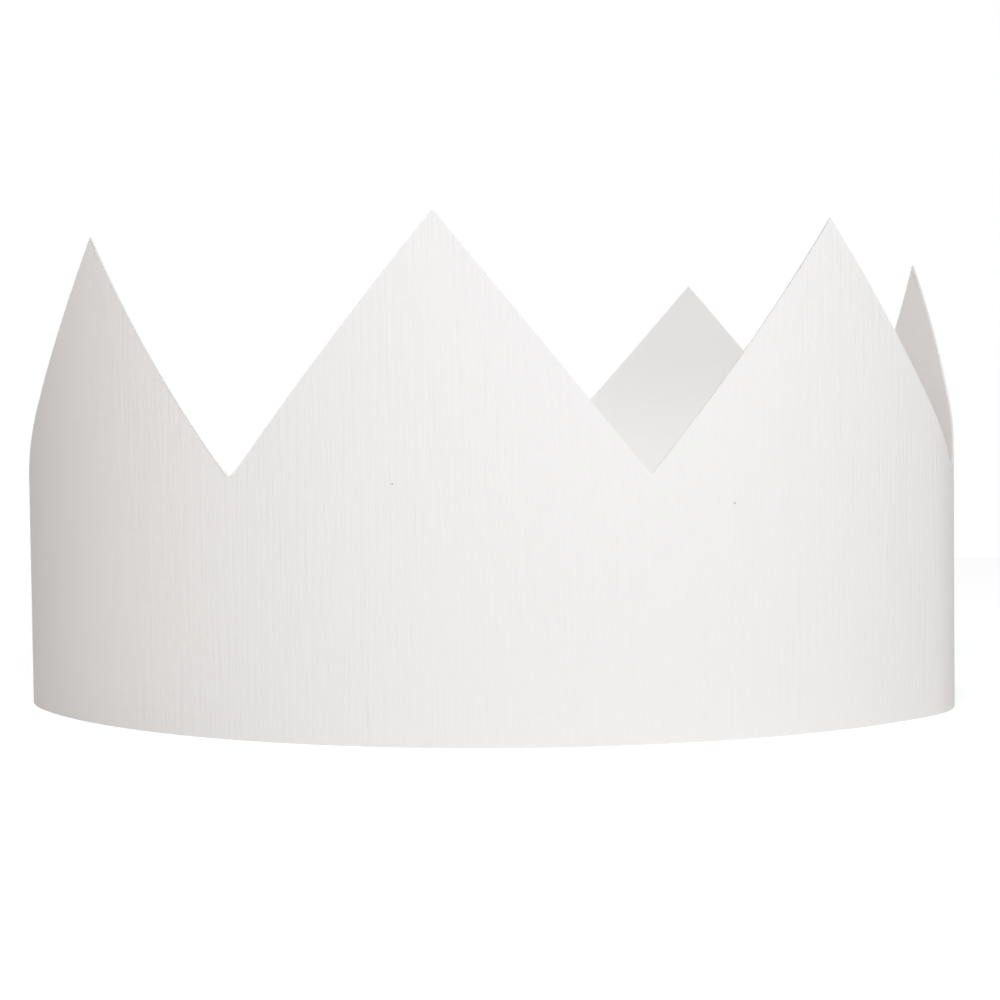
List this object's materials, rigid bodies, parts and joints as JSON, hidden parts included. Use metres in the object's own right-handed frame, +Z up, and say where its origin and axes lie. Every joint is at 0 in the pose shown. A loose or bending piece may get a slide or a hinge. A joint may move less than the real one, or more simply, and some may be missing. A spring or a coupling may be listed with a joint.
{
  "type": "paper crown",
  "caption": "Open ring of thin white card with a zigzag top edge, worn round the head as a party crown.",
  "frame": {"origin": "middle of the footprint, on the surface the bottom edge stands on", "axes": "+Z up along the card's height, -Y out of the broad front panel, +X to the wearer's left along the longer way across the ring"},
  "size_m": [0.218, 0.157, 0.104],
  "materials": {
    "card": "matte white, fine linen emboss"
  },
  "bodies": {
    "root": {"crown": "card"}
  },
  "joints": []
}
